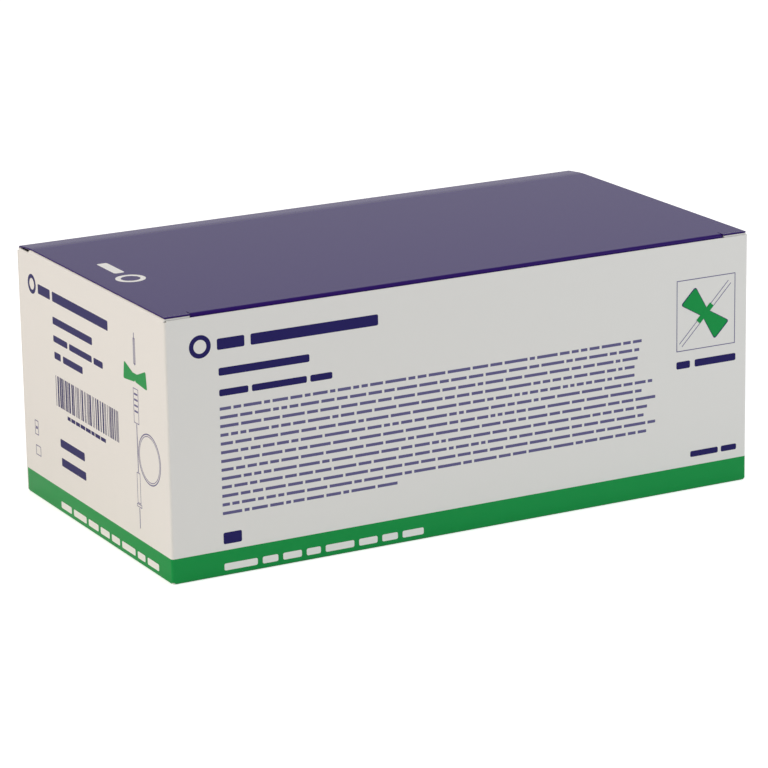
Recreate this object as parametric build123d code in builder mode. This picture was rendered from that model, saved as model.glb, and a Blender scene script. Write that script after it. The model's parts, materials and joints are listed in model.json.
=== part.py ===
from build123d import *
from math import cos, radians, sin
import os

# A folding carton that holds fifty sealed winged-needle packs, in millimetres.
# X runs along the front, the front faces -Y, Z is up, and the origin is the middle of the base.

# Carton, outside sizes
carton_length = 270.0
carton_width = 146.0
front_height = 107.6
board = 0.6
corner_fold = 1.1
base_fold = 0.9

# Dust flaps, folded in under the lid from the end walls
dust_rise = 0.6
dust_fold = 1.1
dust_reach = 62.0
dust_side_gap = 0.8
shoulder_length = 11.4
flap_front_gap = 3.6
flap_back_gap = 12.0
flap_taper = 5.0
flap_tip_radius = 9.0

# Lid: a panel creased to the back wall, with a tuck flap behind the front wall
crease_drop = 2.4
crease_gap = 0.05
lid_gap = 0.15
lid_end_inset = 0.7
lid_front_inset = 0.8
back_fold = 1.5
crown_drop = 1.2
crown_run = 12.0
crown_radius = 60.0
front_fold = 1.5
tuck_inset = 12.0
tuck_depth = 23.0
tuck_lean = 7.0
tuck_gap = 0.25
tuck_tip_radius = 14.0
slit_width = 0.5
slit_length = 5.0

# Glued base and side seam
base_seam = 3.0
end_flap_reach = 66.0
end_flap_taper = 6.0
end_flap_gap = 1.5
end_flap_tip_radius = 8.0
glue_tab_width = 15.0
glue_tab_taper = 8.0
glue_tab_margin = 6.0
seam_groove = 0.45

# Sealed packs, standing on edge like cards in two rows
pack_rows = 2
packs_per_row = 25
pack_web = 0.5
pack_corner = 5.0
pocket_margin = 6.0
pocket_head = 14.0
pocket_corner = 7.0
pocket_draft = 14.0
pack_gap = 0.6
pack_end_gap = 0.5
pack_side_gap = 0.4
pack_headroom = 7.5
pack_lift = 0.05
row_gap = 0.8
tuck_room = 5.0

half_length = carton_length / 2
half_width = carton_width / 2
inner_half_length = half_length - board
inner_half_width = half_width - board
dust_top = front_height + dust_rise
crease_height = dust_top - crease_drop
fold_height = dust_top - dust_fold
floor_middle = 2 * board
floor_ends = 3 * board
lid_top = dust_top + lid_gap + board
lid_half_length = half_length - lid_end_inset
tuck_half_length = half_length - tuck_inset

os.makedirs("parts", exist_ok=True)


# Dust flap of the left end: the top of the end wall, its fold and the flap
with BuildPart() as dust_flap:
    with BuildSketch(Plane.XZ.offset(half_width - dust_side_gap)):
        with BuildLine():
            FilletPolyline(
                (-half_length, crease_height),
                (-half_length, dust_top),
                (-half_length + dust_reach, dust_top),
                radius=dust_fold,
            )
            offset(amount=-board, side=Side.RIGHT)
        make_face()
    extrude(amount=-(carton_width - dust_side_gap))

    # Shoulder beside the tuck flap, cut-back front edge, and relief towards the crease
    with BuildSketch(Plane.XY.offset(crease_height)):
        with BuildLine():
            Polyline(
                (-half_length, -half_width + dust_side_gap),
                (-half_length + shoulder_length, -half_width + dust_side_gap),
                (-half_length + shoulder_length, -half_width + flap_front_gap),
                (-half_length + dust_reach, -half_width + flap_front_gap + flap_taper),
                (-half_length + dust_reach, half_width - flap_back_gap - flap_taper),
                (-half_length, half_width - flap_back_gap),
                close=True,
            )
        make_face()
    extrude(amount=dust_top - crease_height, mode=Mode.INTERSECT)
    free_end = dust_flap.faces().sort_by(Axis.X)[-1]
    fillet(free_end.edges().filter_by(Axis.Z), flap_tip_radius)


# Carton: one sheet of board, creased, folded and glued
with BuildPart() as carton:
    # Four walls as a tube, with a square corner where the side seam is glued
    with BuildSketch():
        outline = Rectangle(carton_length, carton_width)
        seam_corner = outline.vertices().sort_by(Axis.X)[:2].sort_by(Axis.Y)[-1]
        fillet([v for v in outline.vertices() if v != seam_corner], corner_fold)
        Rectangle(2 * inner_half_length, 2 * inner_half_width, mode=Mode.SUBTRACT)
    extrude(amount=fold_height)

    # The back wall ends at the lid's crease; the front wall runs up to its cut edge
    with BuildSketch(Plane.XY.offset(crease_height)):
        with Locations((0, half_width - back_fold / 2)):
            Rectangle(carton_length, back_fold)
    extrude(amount=fold_height - crease_height, mode=Mode.SUBTRACT)
    with BuildSketch(Plane.XY.offset(fold_height)):
        with Locations((0, -half_width + board / 2)):
            Rectangle(carton_length - 2 * corner_fold, board)
    extrude(amount=front_height - fold_height)

    # Both end walls fold in as dust flaps
    add(dust_flap.part)
    mirror(dust_flap.part, about=Plane.YZ)

    # Base: two full panels glued one over the other, the outer one short of the back wall
    with BuildSketch():
        Rectangle(carton_length - corner_fold, carton_width - corner_fold)
    extrude(amount=floor_middle)
    fillet(carton.faces().sort_by(Axis.Z)[0].outer_wire().edges(), base_fold)
    with BuildSketch():
        with Locations((0, half_width - base_seam / 2)):
            Rectangle(carton_length, base_seam)
    extrude(amount=board, mode=Mode.SUBTRACT)

    # End flaps of the base, inside
    with BuildSketch(Plane.XY.offset(floor_middle)):
        with BuildLine():
            end_flap_half_width = inner_half_width - end_flap_gap
            Polyline(
                (-inner_half_length, -end_flap_half_width),
                (-inner_half_length + end_flap_reach, -end_flap_half_width + end_flap_taper),
                (-inner_half_length + end_flap_reach, end_flap_half_width - end_flap_taper),
                (-inner_half_length, end_flap_half_width),
                close=True,
            )
        end_flap = make_face()
        fillet(end_flap.vertices().sort_by(Axis.X)[-2:], end_flap_tip_radius)
        mirror(about=Plane.YZ)
    extrude(amount=board)

    # Side seam: the glue tab inside the back wall, and the groove beside the cut edge
    with BuildSketch(Plane.XZ.offset(-inner_half_width)):
        with BuildLine():
            tab_bottom = floor_ends + glue_tab_margin
            tab_top = crease_height - glue_tab_margin
            Polyline(
                (-inner_half_length, tab_bottom),
                (-inner_half_length + glue_tab_width, tab_bottom + glue_tab_taper),
                (-inner_half_length + glue_tab_width, tab_top - glue_tab_taper),
                (-inner_half_length, tab_top),
                close=True,
            )
        make_face()
    extrude(amount=board)
    with BuildSketch():
        with Locations((-half_length, inner_half_width)):
            Rectangle(seam_groove, seam_groove, rotation=45)
    extrude(amount=crease_height, mode=Mode.SUBTRACT)

carton.part.label = "carton"
export_step(carton.part, "parts/carton.step")


# Lid: one profile carries the back fold, the panel, the front fold and the tuck flap
with BuildPart() as lid:
    front_line = -inner_half_width + tuck_gap
    tuck_tip = (
        front_line + tuck_depth * sin(radians(tuck_lean)),
        lid_top - tuck_depth * cos(radians(tuck_lean)),
    )
    with BuildSketch(Plane.YZ):
        with BuildLine():
            FilletPolyline(
                (half_width, crease_height + crease_gap),
                (half_width, lid_top - crown_drop),
                (half_width - crown_run, lid_top),
                (front_line, lid_top),
                tuck_tip,
                radius=(back_fold, crown_radius, front_fold),
            )
            offset(amount=-board, side=Side.LEFT)
        make_face()
    extrude(amount=lid_half_length, both=True)

    # The front fold and the tuck flap stop short of both ends, with rounded tips
    with BuildSketch(Plane.XZ.offset(half_width)):
        with Locations((lid_half_length, lid_top), (-lid_half_length, lid_top)):
            Rectangle(2 * (lid_half_length - tuck_half_length), 4 * tuck_depth)
    extrude(amount=-(half_width + front_line + front_fold), mode=Mode.SUBTRACT)
    tip_face = lid.faces().sort_by(Axis.Z)[0]
    fillet(tip_face.edges().sort_by(SortBy.LENGTH)[:2], tuck_tip_radius)

    # Past the tuck flap the panel runs on to a plain cut edge, and a slit parts the two
    tab_depth = half_width - lid_front_inset + front_line + front_fold
    with BuildSketch(Plane.XY.offset(lid_top - board)):
        tab_middle = (lid_half_length + tuck_half_length) / 2
        with Locations((tab_middle, 0), (-tab_middle, 0)):
            with Locations((0, front_line + front_fold - tab_depth / 2)):
                Rectangle(lid_half_length - tuck_half_length, tab_depth)
    extrude(amount=board)
    with BuildSketch(Plane.XY.offset(lid_top - board)):
        with Locations((tuck_half_length, -half_width), (-tuck_half_length, -half_width)):
            Rectangle(slit_width, 2 * slit_length)
    extrude(amount=board, mode=Mode.SUBTRACT)

lid.part.label = "lid"
export_step(lid.part, "parts/lid.step")


# Room for the packs: the tuck flap takes some in front, the glue tab some at the back
row_front = -inner_half_width + tuck_room
row_back = inner_half_width - board - pack_side_gap
pack_width = (row_back - row_front - (pack_rows - 1) * row_gap) / pack_rows
pack_height = dust_top - board - pack_headroom - floor_ends
pack_pitch = (2 * (inner_half_length - pack_end_gap) + pack_gap) / packs_per_row
pack_thickness = pack_pitch - pack_gap

# Pack: a flat sealed edge all round and one tapered pocket, standing on its short side
with BuildPart() as pack:
    with BuildSketch(Plane.YZ):
        rim = Rectangle(pack_width, pack_height, align=(Align.CENTER, Align.MIN))
        chamfer(rim.vertices(), pack_corner)
    extrude(amount=pack_web)
    with BuildSketch(Plane.YZ.offset(pack_web)):
        with Locations((0, pocket_margin)):
            pocket = Rectangle(
                pack_width - 2 * pocket_margin,
                pack_height - pocket_margin - pocket_head,
                align=(Align.CENTER, Align.MIN),
            )
        chamfer(pocket.vertices(), pocket_corner)
    extrude(amount=pack_thickness - pack_web, taper=pocket_draft)

# Each pack stands on the end flaps or on the panel between them
end_flap_edge = inner_half_length - end_flap_reach
rows = GridLocations(pack_pitch, pack_width + row_gap, packs_per_row, pack_rows)

for number, place in enumerate(rows, start=1):
    middle = place.position.X
    on_end_flap = abs(middle) + pack_thickness / 2 > end_flap_edge
    rest_height = floor_ends if on_end_flap else floor_middle
    seat = Location(
        (
            middle - pack_thickness / 2,
            place.position.Y + (row_front + row_back) / 2,
            rest_height + pack_lift,
        )
    )
    set_pack = pack.part.moved(seat)
    set_pack.label = f"set_pack_{number:02d}"
    export_step(set_pack, f"parts/{set_pack.label}.step")
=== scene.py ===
# Looks, light and camera for a folding carton of winged needle packs

import json
import math
import random

import bpy
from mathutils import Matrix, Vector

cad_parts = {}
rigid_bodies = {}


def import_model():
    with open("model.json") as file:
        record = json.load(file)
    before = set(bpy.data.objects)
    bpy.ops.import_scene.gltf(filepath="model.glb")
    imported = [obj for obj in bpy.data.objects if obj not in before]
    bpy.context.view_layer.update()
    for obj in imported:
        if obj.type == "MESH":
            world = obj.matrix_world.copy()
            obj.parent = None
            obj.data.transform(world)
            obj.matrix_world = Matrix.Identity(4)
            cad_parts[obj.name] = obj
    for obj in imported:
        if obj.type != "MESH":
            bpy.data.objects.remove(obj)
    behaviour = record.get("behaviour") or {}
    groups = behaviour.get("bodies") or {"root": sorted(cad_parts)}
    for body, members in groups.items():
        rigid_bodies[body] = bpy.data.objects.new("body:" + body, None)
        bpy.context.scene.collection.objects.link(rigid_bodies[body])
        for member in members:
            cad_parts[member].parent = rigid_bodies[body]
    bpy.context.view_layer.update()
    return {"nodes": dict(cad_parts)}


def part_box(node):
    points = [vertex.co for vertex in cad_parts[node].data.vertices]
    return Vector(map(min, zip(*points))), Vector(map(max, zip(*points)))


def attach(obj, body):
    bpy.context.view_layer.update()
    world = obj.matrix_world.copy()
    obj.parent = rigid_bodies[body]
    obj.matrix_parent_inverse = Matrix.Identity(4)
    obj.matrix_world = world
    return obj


mm = 0.001
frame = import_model()
nodes = frame["nodes"]
print("frame loaded:", len(nodes), "nodes")


def linearColour(hexCode):
    channels = [int(hexCode[i:i + 2], 16) / 255 for i in (1, 3, 5)]
    linear = [c / 12.92 if c <= 0.04045 else ((c + 0.055) / 1.055) ** 2.4 for c in channels]
    return (*linear, 1.0)


def addNode(tree, kind, settings=None, links=None):
    # links: input name of the new node -> output socket that feeds it
    node = tree.nodes.new(kind)
    for name, value in (settings or {}).items():
        if name in node.inputs:
            node.inputs[name].default_value = value
        else:
            setattr(node, name, value)
    for name, socket in (links or {}).items():
        tree.links.new(socket, node.inputs[name])
    return node


def startMaterial(name):
    material = bpy.data.materials.new(name)
    material.use_nodes = True
    material.node_tree.nodes.clear()
    return material, material.node_tree


def finishMaterial(tree, surface):
    addNode(tree, "ShaderNodeOutputMaterial", links={"Surface": surface.outputs[0]})


def plainMaterial(name, colour, roughness, ior=1.5):
    material, tree = startMaterial(name)
    settings = {
        "Base Color": linearColour(colour),
        "Roughness": roughness,
        "IOR": ior,
    }
    finishMaterial(tree, addNode(tree, "ShaderNodeBsdfPrincipled", settings))
    return material


boardLook = {
    "whiteFace": "#ebeae6",   # clay-coated white side
    "inside": "#dcd6cb",      # uncoated side
    "indigo": "#2c0f64",
    "ink": "#170d5c",
    "smallInk": "#5a5687",    # greyer, as lines of small print read from afar
    "green": "#009645",
    "white": "#f2f1ee",
}

# Clay-coated folding boxboard, offset printed and varnished: soft sheen, no grain
whiteBoard = plainMaterial("coatedBoxboard", boardLook["whiteFace"], 0.42)
# Solid indigo ink under varnish: dark, with a low index so that it mirrors the room weakly
indigoInk = plainMaterial("varnishedIndigoInk", boardLook["indigo"], 0.25, ior=1.13)
# Uncoated back of the board: matt
rawBoard = plainMaterial("uncoatedBoxboard", boardLook["inside"], 0.85)
# Print inks, duller than the varnished lid
printInk = plainMaterial("indigoPrintInk", boardLook["ink"], 0.40, ior=1.3)
smallInk = plainMaterial("indigoSmallPrintInk", boardLook["smallInk"], 0.42)
greenInk = plainMaterial("greenPrintInk", boardLook["green"], 0.38, ior=1.3)
whiteInk = plainMaterial("whitePrintInk", boardLook["white"], 0.42)
# Sealed film of a sterile pack: thin clear nylon over white paper, so pale and slightly glossy
packFilm = plainMaterial("packFilm", "#d5dee2", 0.28)
# Medical paper that backs each pack: smooth white, matt
packPaper = plainMaterial("medicalPaper", "#eef0ee", 0.8)
print("materials made")


def dressNode(name, material):
    slots = nodes[name].data.materials
    slots.clear()
    slots.append(material)


dressNode("carton", whiteBoard)
dressNode("lid", indigoInk)
for name in nodes:
    if name.startswith("set_pack"):
        dressNode(name, packFilm)

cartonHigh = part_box("carton")[1]
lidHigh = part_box("lid")[1]
halfLength = cartonHigh.x
halfWidth = cartonHigh.y

# Where a print sheet, drawn flat, goes: turn and place of its middle bottom
faces = {
    "front": ((90, 0, 0), (0, -halfWidth, 0)),
    "leftEnd": ((90, 0, -90), (-halfLength, 0, 0)),
    "top": ((0, 0, 0), (0, 0, lidHigh.z)),
}
inkThickness = 0.03 * mm
barSegments = 4
wingSegments = 5
ringCorners = 48


def deselectAll():
    bpy.ops.object.select_all(action="DESELECT")


def thicken(piece):
    # gives the open surface of the active piece the thickness of ink, outwards
    solid = piece.modifiers.new("thickness", "SOLIDIFY")
    solid.thickness = inkThickness
    solid.offset = 1
    bpy.ops.object.modifier_apply(modifier=solid.name)


def startSheet(name):
    # an empty mesh in edit mode, drawn on flat as seen from outside
    deselectAll()
    bpy.ops.mesh.primitive_plane_add(size=1)
    sheet = bpy.context.object
    sheet.name = name
    bpy.ops.object.mode_set(mode="EDIT")
    bpy.ops.mesh.delete(type="VERT")
    return sheet


def addBar(left, bottom, right, top, turn=0, rounding=0):
    middle = ((left + right) / 2 * mm, (bottom + top) / 2 * mm, 0)
    bpy.ops.mesh.select_all(action="DESELECT")
    bpy.ops.mesh.primitive_plane_add(size=1, location=middle)
    bpy.ops.transform.resize(
        value=((right - left) * mm, (top - bottom) * mm, 1), center_override=middle
    )
    if rounding:
        bpy.ops.mesh.bevel(offset=rounding * mm, segments=barSegments, affect="VERTICES")
        bpy.ops.mesh.select_linked()
    if turn:
        bpy.ops.transform.rotate(value=math.radians(-turn), orient_axis="Z", center_override=middle)


def addStroke(x0, y0, x1, y1, width):
    length = math.hypot(x1 - x0, y1 - y0)
    turn = math.degrees(math.atan2(y1 - y0, x1 - x0))
    midX, midY = (x0 + x1) / 2, (y0 + y1) / 2
    addBar(midX - length / 2, midY - width / 2, midX + length / 2, midY + width / 2, turn)


def addWing(rootX, rootY, length, rootWidth, tipWidth, turn, rounding):
    # a flared wing that points along +X from its root before it is turned
    root = (rootX * mm, rootY * mm, 0)
    addBar(rootX, rootY - rootWidth / 2, rootX + length, rootY + rootWidth / 2)
    bpy.ops.object.mode_set(mode="OBJECT")
    half = root[0] + 0.5 * length * mm
    corners = bpy.context.object.data.vertices
    tips = [vertex.index for vertex in corners if vertex.select and vertex.co.x > half]
    bpy.ops.object.mode_set(mode="EDIT")
    bpy.ops.mesh.select_all(action="DESELECT")
    bpy.ops.object.mode_set(mode="OBJECT")
    for index in tips:
        corners[index].select = True
    bpy.ops.object.mode_set(mode="EDIT")
    bpy.ops.transform.resize(value=(1, tipWidth / rootWidth, 1), center_override=root)
    bpy.ops.mesh.select_linked()
    bpy.ops.transform.rotate(value=math.radians(-turn), orient_axis="Z", center_override=root)
    bpy.ops.mesh.bevel(offset=rounding * mm, segments=wingSegments, affect="VERTICES")


def addRing(x, y, radius, width):
    bpy.ops.mesh.select_all(action="DESELECT")
    bpy.ops.mesh.primitive_circle_add(
        vertices=ringCorners, radius=radius * mm, fill_type="NGON", location=(x * mm, y * mm, 0)
    )
    bpy.ops.mesh.inset(thickness=width * mm)
    bpy.ops.mesh.delete(type="FACE")


def addFrame(left, bottom, right, top, width):
    addBar(left, bottom, right, top)
    bpy.ops.mesh.inset(thickness=width * mm)
    bpy.ops.mesh.delete(type="FACE")


def addWords(left, right, bottom, height, chance, shortest, longest, gap, rounding=0):
    # a line of plain word-length bars that ends at the right
    at = left
    while at < right - shortest:
        word = chance.uniform(shortest, longest)
        stop = min(at + word, right)
        if right - stop < shortest:
            stop = right
        addBar(at, bottom, stop, bottom + height, rounding=rounding)
        at = stop + gap


def finishSheet(sheet, face, material, body, layer=1):
    bpy.ops.object.mode_set(mode="OBJECT")
    turn, place = faces[face]
    sheet.data.materials.append(material)
    thicken(sheet)
    bpy.ops.object.mode_set(mode="EDIT")
    bpy.ops.mesh.select_all(action="SELECT")
    bpy.ops.transform.translate(value=(0, 0, (layer - 1) * inkThickness))
    bpy.ops.object.mode_set(mode="OBJECT")
    sheet.rotation_euler = [math.radians(angle) for angle in turn]
    sheet.location = place
    bpy.ops.object.transform_apply(location=True, rotation=True, scale=True)
    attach(sheet, body)


# Lining: the unprinted side of the lid, laid on a copy of its inner faces
liningFaces = {
    "weld": 0.001,
    "panelDepth": 3.0,   # how far under the lid's top the panel's underside is looked for
    "downward": -0.5,    # largest Z of an underside's normal
    "backward": 0.7,     # least Y of the normal on the tuck flap's inner side
}


def lineLid():
    deselectAll()
    lining = nodes["lid"].copy()
    lining.data = nodes["lid"].data.copy()
    lining.parent = None
    lining.name = "lidLining"
    for key in list(lining.keys()):
        del lining[key]
    bpy.context.scene.collection.objects.link(lining)
    bpy.context.view_layer.objects.active = lining
    lining.select_set(True)
    lining.data.materials.clear()
    lining.data.materials.append(rawBoard)
    bpy.ops.object.mode_set(mode="EDIT")
    bpy.ops.mesh.select_mode(type="FACE")
    bpy.ops.mesh.select_all(action="SELECT")
    bpy.ops.mesh.remove_doubles(threshold=liningFaces["weld"] * mm)
    bpy.ops.mesh.select_all(action="DESELECT")
    bpy.ops.object.mode_set(mode="OBJECT")
    lowest = lidHigh.z - liningFaces["panelDepth"] * mm
    for face in lining.data.polygons:
        under = face.normal.z < liningFaces["downward"] and face.center.z > lowest
        behind = face.center.y < 0 and face.normal.y > liningFaces["backward"]
        face.select = not (under or behind)
    bpy.ops.object.mode_set(mode="EDIT")
    bpy.ops.mesh.delete(type="FACE")
    bpy.ops.mesh.select_mode(type="VERT")
    bpy.ops.object.mode_set(mode="OBJECT")
    thicken(lining)
    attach(lining, "lid")


lineLid()
print("lid lined")

# Green band round the foot of the walls, rolled under with the base fold
band = {
    "height": 10.6,
    "fold": 0.9,
    "corner": 1.1,
    "cornerSegments": 4,
    "steps": 3,
    "turnUnder": 0.85,    # share of the quarter turn that the band follows
    "smoothAngle": 35,
}


def makeBand():
    deselectAll()
    foot = band["fold"] * mm
    bpy.ops.mesh.primitive_plane_add(size=1, location=(0, 0, foot))
    wrap = bpy.context.object
    wrap.name = "greenBand"
    wrap.scale = (2 * halfLength, 2 * halfWidth, 1)
    bpy.ops.object.transform_apply(location=True, rotation=True, scale=True)
    bpy.ops.object.mode_set(mode="EDIT")
    bpy.ops.mesh.select_mode(type="VERT")
    bpy.ops.mesh.select_all(action="SELECT")
    bpy.ops.mesh.bevel(
        offset=band["corner"] * mm, segments=band["cornerSegments"], affect="VERTICES"
    )
    bpy.ops.mesh.select_all(action="SELECT")
    bpy.ops.mesh.delete(type="ONLY_FACE")
    bpy.ops.mesh.select_all(action="SELECT")
    bpy.ops.mesh.extrude_region_move(
        TRANSFORM_OT_translate={"value": (0, 0, band["height"] * mm - foot)}
    )
    bpy.ops.mesh.select_all(action="DESELECT")
    bpy.ops.object.mode_set(mode="OBJECT")
    for vertex in wrap.data.vertices:
        vertex.select = vertex.co.z < foot + 0.01 * mm
    bpy.ops.object.mode_set(mode="EDIT")
    drawnIn, dropped = 0.0, 0.0
    for step in range(1, band["steps"] + 1):
        angle = math.pi / 2 * step / band["steps"] * band["turnUnder"]
        nextIn = foot * (1 - math.cos(angle))
        nextDrop = foot * math.sin(angle)
        bpy.ops.mesh.extrude_region_move(
            TRANSFORM_OT_translate={"value": (0, 0, -(nextDrop - dropped))}
        )
        bpy.ops.transform.resize(
            value=(
                (halfLength - nextIn) / (halfLength - drawnIn),
                (halfWidth - nextIn) / (halfWidth - drawnIn),
                1,
            ),
            center_override=(0, 0, 0.5 * foot),
        )
        drawnIn, dropped = nextIn, nextDrop
    bpy.ops.mesh.select_all(action="SELECT")
    bpy.ops.mesh.normals_make_consistent(inside=False)
    bpy.ops.object.mode_set(mode="OBJECT")
    tallest = max(wrap.data.polygons, key=lambda face: face.area)
    if tallest.normal.dot(tallest.center) < 0:
        wrap.data.flip_normals()
    wrap.data.materials.append(greenInk)
    thicken(wrap)
    bpy.ops.object.shade_smooth_by_angle(angle=math.radians(band["smoothAngle"]))
    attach(wrap, "carton")


makeBand()
print("band made")

# Paper back of each pack: a thin sheet on its flat side, a little short of the film all round
paper = {"thickness": 0.12, "margin": 0.5, "packs": 50}


def backPacks():
    first = "set_pack_01"
    low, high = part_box(first)
    margin, thickness = paper["margin"] * mm, paper["thickness"] * mm
    deselectAll()
    bpy.ops.mesh.primitive_cube_add(
        size=1, location=(low.x - thickness / 2, (low.y + high.y) / 2, (low.z + high.z) / 2)
    )
    sheet = bpy.context.object
    sheet.scale = (thickness, high.y - low.y - 2 * margin, high.z - low.z - 2 * margin)
    bpy.ops.object.transform_apply(location=True, rotation=True, scale=True)
    sheet.data.materials.append(packPaper)
    sheet.name = "packPaper01"
    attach(sheet, "carton")
    for number in range(2, paper["packs"] + 1):
        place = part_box(f"set_pack_{number:02d}")[0]
        copy = sheet.copy()
        copy.data = sheet.data.copy()
        copy.name = f"packPaper{number:02d}"
        bpy.context.scene.collection.objects.link(copy)
        for vertex in copy.data.vertices:
            vertex.co += place - low
        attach(copy, "carton")


backPacks()
print("packs backed")

# Print is placed in steps across and down a face from its top left corner, and sized in millimetres
boxSize = {"length": 270.0, "width": 146.0, "height": 107.6}
steps = {"front": 1400, "end": 625, "down": 540}


def frontX(step):
    return -boxSize["length"] / 2 + step * boxSize["length"] / steps["front"]


def endX(step):
    return -boxSize["width"] / 2 + step * boxSize["width"] / steps["end"]


def faceZ(step):
    return boxSize["height"] - step * boxSize["height"] / steps["down"]


frontPrint = {
    "seed": 7,
    "ring": {"x": 78, "z": 61, "radius": 4.7, "width": 1.9},
    "rounding": 0.7,
    "bars": [   # left, bottom, right, top
        (116, 73, 178, 50),
        (192, 73, 486, 50),
        (118, 126, 325, 110),
        (118, 168, 184, 154),
        (192, 168, 318, 154),
        (326, 168, 377, 154),
        (118, 474, 160, 450),
        (1254, 468, 1326, 455),
        (1334, 468, 1374, 455),
        (1217, 270, 1252, 254),
        (1264, 270, 1370, 254),
    ],
    "left": 118,
    "firstLine": 197,
    "lineStep": 18,
    "lineEnds": [
        1128, 1135, 1118, 1110, 1110, 1155, 1128, 1163, 1142, 1145, 1163, 1140, 540,
    ],
    "small": {"height": 1.25, "shortest": 2.0, "longest": 11.0, "gap": 1.1},
    "foot": {
        "right": 627, "bottom": 529,
        "height": 2.9, "shortest": 6.0, "longest": 15.0, "gap": 2.2,
    },
}


def printFront():
    chance = random.Random(frontPrint["seed"])
    rounding = frontPrint["rounding"]
    left = frontX(frontPrint["left"])

    titles = startSheet("frontTitles")
    ring = frontPrint["ring"]
    addRing(frontX(ring["x"]), faceZ(ring["z"]), ring["radius"], ring["width"])
    for barLeft, bottom, right, top in frontPrint["bars"]:
        addBar(frontX(barLeft), faceZ(bottom), frontX(right), faceZ(top), rounding=rounding)
    finishSheet(titles, "front", printInk, "carton")

    lines = startSheet("frontSmallPrint")
    small = frontPrint["small"]
    for row, end in enumerate(frontPrint["lineEnds"]):
        bottom = faceZ(frontPrint["firstLine"] + frontPrint["lineStep"] * row)
        addWords(
            left, frontX(end), bottom, small["height"], chance,
            small["shortest"], small["longest"], small["gap"],
        )
    finishSheet(lines, "front", smallInk, "carton")

    words = startSheet("frontBandWords")
    foot = frontPrint["foot"]
    addWords(
        left, frontX(foot["right"]), faceZ(foot["bottom"]), foot["height"], chance,
        foot["shortest"], foot["longest"], foot["gap"], rounding=rounding,
    )
    finishSheet(words, "front", whiteInk, "carton", layer=3)


printFront()
print("front printed")

# Framed picture of a winged set that lies from lower left to upper right
frontPicture = {
    "border": {"left": 1217, "bottom": 232, "right": 1368, "top": 78, "line": 0.35},
    "middle": (1290, 156),
    "tube": {"start": (-12.0, -12.5), "end": (12.2, 12.0), "offset": 0.63, "line": 0.3},
    "wingTurns": (-45, 135),
    "wing": {"length": 11.5, "root": 3.4, "tip": 9.6, "rounding": 1.2},
    "rim": {"length": 11.9, "root": 3.8, "tip": 10.3, "rounding": 1.3},
    "hub": {"reach": 3.4, "width": 2.4},
}


def drawFrontPicture():
    midX, midZ = frontX(frontPicture["middle"][0]), faceZ(frontPicture["middle"][1])
    outline = startSheet("pictureFrame")
    border = frontPicture["border"]
    addFrame(
        frontX(border["left"]), faceZ(border["bottom"]),
        frontX(border["right"]), faceZ(border["top"]), border["line"],
    )
    tube = frontPicture["tube"]
    for aside in (-tube["offset"], tube["offset"]):
        addStroke(
            midX + tube["start"][0] - aside, midZ + tube["start"][1] + aside,
            midX + tube["end"][0] - aside, midZ + tube["end"][1] + aside, tube["line"],
        )
    finishSheet(outline, "front", smallInk, "carton")

    for name, part, ink, layer in (
        ("pictureWings", "wing", greenInk, 3),
        ("pictureWingRims", "rim", printInk, 2),
    ):
        wings = startSheet(name)
        wing = frontPicture[part]
        for turn in frontPicture["wingTurns"]:
            addWing(midX, midZ, wing["length"], wing["root"], wing["tip"], turn, wing["rounding"])
        finishSheet(wings, "front", ink, "carton", layer=layer)

    hub = startSheet("pictureHub")
    reach = frontPicture["hub"]["reach"]
    addStroke(midX - reach, midZ - reach, midX + reach, midZ + reach, frontPicture["hub"]["width"])
    finishSheet(hub, "front", greenInk, "carton", layer=4)


drawFrontPicture()
print("front picture drawn")

endPrint = {
    "seed": 21,
    "ring": {"x": 61, "z": 67, "radius": 4.2, "width": 1.7},
    "rounding": 0.6,
    "bars": [   # left, bottom, right, top
        (88, 81, 142, 60),
        (152, 81, 392, 60),
        (150, 130, 322, 114),
        (150, 168, 212, 154),
        (220, 168, 318, 154),
        (326, 168, 365, 154),
        (152, 204, 180, 189),
        (190, 204, 276, 189),
        (163, 393, 270, 375),
        (166, 434, 273, 416),
    ],
    "stripes": {
        "left": 153, "right": 421, "bottom": 306, "top": 240,
        "widths": [0.45, 0.45, 0.9, 1.35],
    },
    "caption": {
        "left": 200, "right": 376, "bottom": 324,
        "height": 1.6, "shortest": 2.0, "longest": 5.0, "gap": 0.7,
    },
    "foot": {
        "left": 156, "right": 572, "bottom": 529,
        "height": 2.9, "shortest": 6.0, "longest": 14.0, "gap": 2.2, "rounding": 0.7,
    },
}


def addEndWords(line, chance):
    addWords(
        endX(line["left"]), endX(line["right"]), faceZ(line["bottom"]), line["height"], chance,
        line["shortest"], line["longest"], line["gap"], rounding=line.get("rounding", 0),
    )


def printEnd():
    chance = random.Random(endPrint["seed"])
    titles = startSheet("leftEndTitles")
    ring = endPrint["ring"]
    addRing(endX(ring["x"]), faceZ(ring["z"]), ring["radius"], ring["width"])
    for left, bottom, right, top in endPrint["bars"]:
        addBar(endX(left), faceZ(bottom), endX(right), faceZ(top), rounding=endPrint["rounding"])
    finishSheet(titles, "leftEnd", printInk, "carton")

    sheet = startSheet("leftEndStripes")
    stripes = endPrint["stripes"]
    at = endX(stripes["left"])
    while at < endX(stripes["right"]):
        width = chance.choice(stripes["widths"])
        addBar(at, faceZ(stripes["bottom"]), at + width, faceZ(stripes["top"]))
        at += width + chance.choice(stripes["widths"])
    addEndWords(endPrint["caption"], chance)
    finishSheet(sheet, "leftEnd", printInk, "carton")

    words = startSheet("leftEndBandWords")
    addEndWords(endPrint["foot"], chance)
    finishSheet(words, "leftEnd", whiteInk, "carton", layer=3)


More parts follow.
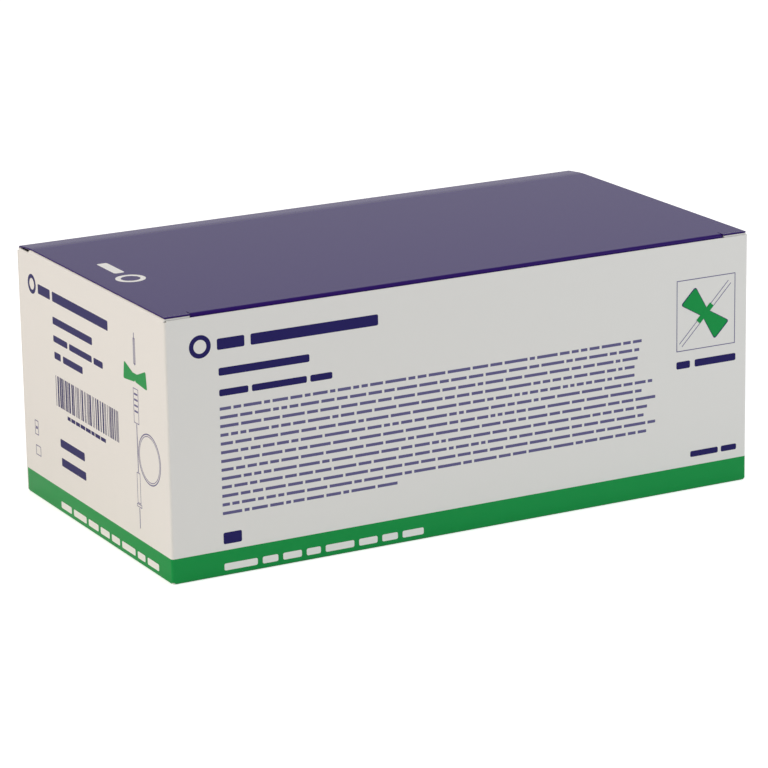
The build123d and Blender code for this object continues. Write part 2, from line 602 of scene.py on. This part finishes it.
# Winged set drawn along the end wall: cover, wings, sleeve, coiled tube and adapter
endPicture = {
    "middle": 500,
    "line": 0.32,
    "strokes": [(55, 122, 0.5), (244, 344, 0.6), (419, 462, 0.55)],   # top, bottom, width
    "frames": [   # half width, bottom, top
        (0.95, 120, 66),
        (2.4, 243, 170),
        (1.6, 410, 345),
        (2.3, 418, 411),
    ],
    "ribs": {"count": 4, "first": 180, "step": 12, "height": 4, "halfWidth": 1.7},
    "coil": {"aside": 11.2, "z": 304, "turns": [(10.6, 0.5), (9.6, 0.3)]},   # radius, width
    "wing": {"z": 150, "turns": (8, 172), "length": 10.8, "root": 2.6, "tip": 7.6, "rounding": 0.9},
    "hub": {"halfWidth": 2.4, "bottom": 153, "top": 139, "rounding": 0.8},
    "signs": {
        "frames": [(47, 399, 63, 367), (48, 444, 70, 422)],   # left, bottom, right, top
        "line": 0.35,
        "bar": (51, 386, 59, 380),
    },
}


def drawEndPicture():
    middle = endX(endPicture["middle"])
    drawing = startSheet("leftEndPicture")
    for top, bottom, width in endPicture["strokes"]:
        addStroke(middle, faceZ(top), middle, faceZ(bottom), width)
    for half, bottom, top in endPicture["frames"]:
        addFrame(middle - half, faceZ(bottom), middle + half, faceZ(top), endPicture["line"])
    ribs = endPicture["ribs"]
    for rib in range(ribs["count"]):
        top = ribs["first"] + ribs["step"] * rib
        bottom = top + ribs["height"]
        addBar(middle - ribs["halfWidth"], faceZ(bottom), middle + ribs["halfWidth"], faceZ(top))
    coil = endPicture["coil"]
    for radius, width in coil["turns"]:
        addRing(middle + coil["aside"], faceZ(coil["z"]), radius, width)
    finishSheet(drawing, "leftEnd", smallInk, "carton")

    wings = startSheet("leftEndWings")
    wing = endPicture["wing"]
    for turn in wing["turns"]:
        addWing(
            middle, faceZ(wing["z"]), wing["length"], wing["root"], wing["tip"],
            turn, wing["rounding"],
        )
    finishSheet(wings, "leftEnd", greenInk, "carton", layer=2)

    sheet = startSheet("leftEndHub")
    hub = endPicture["hub"]
    addBar(
        middle - hub["halfWidth"], faceZ(hub["bottom"]),
        middle + hub["halfWidth"], faceZ(hub["top"]), rounding=hub["rounding"],
    )
    finishSheet(sheet, "leftEnd", greenInk, "carton", layer=3)

    sheet = startSheet("leftEndSigns")
    signs = endPicture["signs"]
    for left, bottom, right, top in signs["frames"]:
        addFrame(endX(left), faceZ(bottom), endX(right), faceZ(top), signs["line"])
    left, bottom, right, top = signs["bar"]
    addBar(endX(left), faceZ(bottom), endX(right), faceZ(top))
    finishSheet(sheet, "leftEnd", smallInk, "carton")


printEnd()
drawEndPicture()
print("end printed")

# White mark near the lid's left end, in millimetres from the middle of the carton
lidMark = {
    "ringX": -119.6,
    "ringY": -8.3,
    "ringRadius": 6.2,
    "ringWidth": 2.2,
    "bar": (-121.9, 2.2, -117.3, 20.6),
    "rounding": 1.0,
}


def printLid():
    mark = startSheet("lidMark")
    addRing(lidMark["ringX"], lidMark["ringY"], lidMark["ringRadius"], lidMark["ringWidth"])
    left, front, right, back = lidMark["bar"]
    addBar(left, front, right, back, rounding=lidMark["rounding"])
    finishSheet(mark, "top", whiteInk, "lid")


printLid()
print("lid printed")

# Room: white floor that still takes the shadow, pale world, soft lamps
room = {
    "floorSize": 14.0,
    "floorDrop": 0.05,     # millimetres under the carton's base
    "floorGlow": 0.52,     # seen by the camera only, so the lit floor reads as white
    "worldLight": 0.41,
    "lamps": {
        "keyLamp": {"place": (-2.6, 0.1, 1.7), "size": 1.2, "power": 38, "colour": "#fff0e2"},
        "fillLamp": {"place": (1.15, -0.95, 1.0), "size": 0.7, "power": 9.0, "colour": "#f0f8ff"},
    },
}


def makeRoom():
    deselectAll()
    under = (0, 0, -room["floorDrop"] * mm)
    bpy.ops.mesh.primitive_plane_add(size=room["floorSize"], location=under)
    floor = bpy.context.object
    floor.name = "floor"
    material, tree = startMaterial("paperSweep")
    lit = addNode(tree, "ShaderNodeBsdfDiffuse", {"Color": linearColour("#ffffff")})
    seen = addNode(tree, "ShaderNodeLightPath")
    lift = addNode(tree, "ShaderNodeMath", {"operation": "MULTIPLY"})
    tree.links.new(seen.outputs["Is Camera Ray"], lift.inputs[0])
    lift.inputs[1].default_value = room["floorGlow"]
    white = {"Color": (1, 1, 1, 1)}
    glow = addNode(tree, "ShaderNodeEmission", white, {"Strength": lift.outputs[0]})
    both = addNode(tree, "ShaderNodeAddShader")
    tree.links.new(lit.outputs[0], both.inputs[0])
    tree.links.new(glow.outputs[0], both.inputs[1])
    finishMaterial(tree, both)
    floor.data.materials.append(material)

    world = bpy.data.worlds.new("paleRoom")
    bpy.context.scene.world = world
    world.use_nodes = True
    world.node_tree.nodes.clear()
    tree = world.node_tree
    seen = addNode(tree, "ShaderNodeLightPath")
    pale = {"Color": (1, 1, 1, 1), "Strength": room["worldLight"]}
    plain = addNode(tree, "ShaderNodeBackground", pale)
    white = addNode(tree, "ShaderNodeBackground", {"Color": (1, 1, 1, 1), "Strength": 1.0})
    either = addNode(tree, "ShaderNodeMath", {"operation": "MAXIMUM"})
    tree.links.new(seen.outputs["Is Camera Ray"], either.inputs[0])
    tree.links.new(seen.outputs["Is Glossy Ray"], either.inputs[1])
    mix = addNode(tree, "ShaderNodeMixShader", links={"Fac": either.outputs[0]})
    tree.links.new(plain.outputs[0], mix.inputs[1])
    tree.links.new(white.outputs[0], mix.inputs[2])
    addNode(tree, "ShaderNodeOutputWorld", links={"Surface": mix.outputs[0]})

    for name, lamp in room["lamps"].items():
        bpy.ops.object.light_add(type="AREA", location=lamp["place"])
        light = bpy.context.object
        light.name = name
        light.data.size = lamp["size"]
        light.data.energy = lamp["power"]
        light.data.color = linearColour(lamp["colour"])[:3]
        aim = -light.location
        light.rotation_euler = aim.to_track_quat("-Z", "Y").to_euler()


makeRoom()

camera = {
    "place": (-0.7048, -1.3282, 0.4723),
    "turn": (74.1267, 0.9676, -28.2141),
    "lens": 172.6,
    "sensor": 36,
}


def placeCamera():
    bpy.ops.object.camera_add(location=camera["place"])
    view = bpy.context.object
    view.rotation_euler = [math.radians(angle) for angle in camera["turn"]]
    view.data.lens = camera["lens"]
    view.data.sensor_width = camera["sensor"]
    bpy.context.scene.camera = view


placeCamera()
bpy.context.scene.view_settings.view_transform = "Standard"
print("room and camera ready")
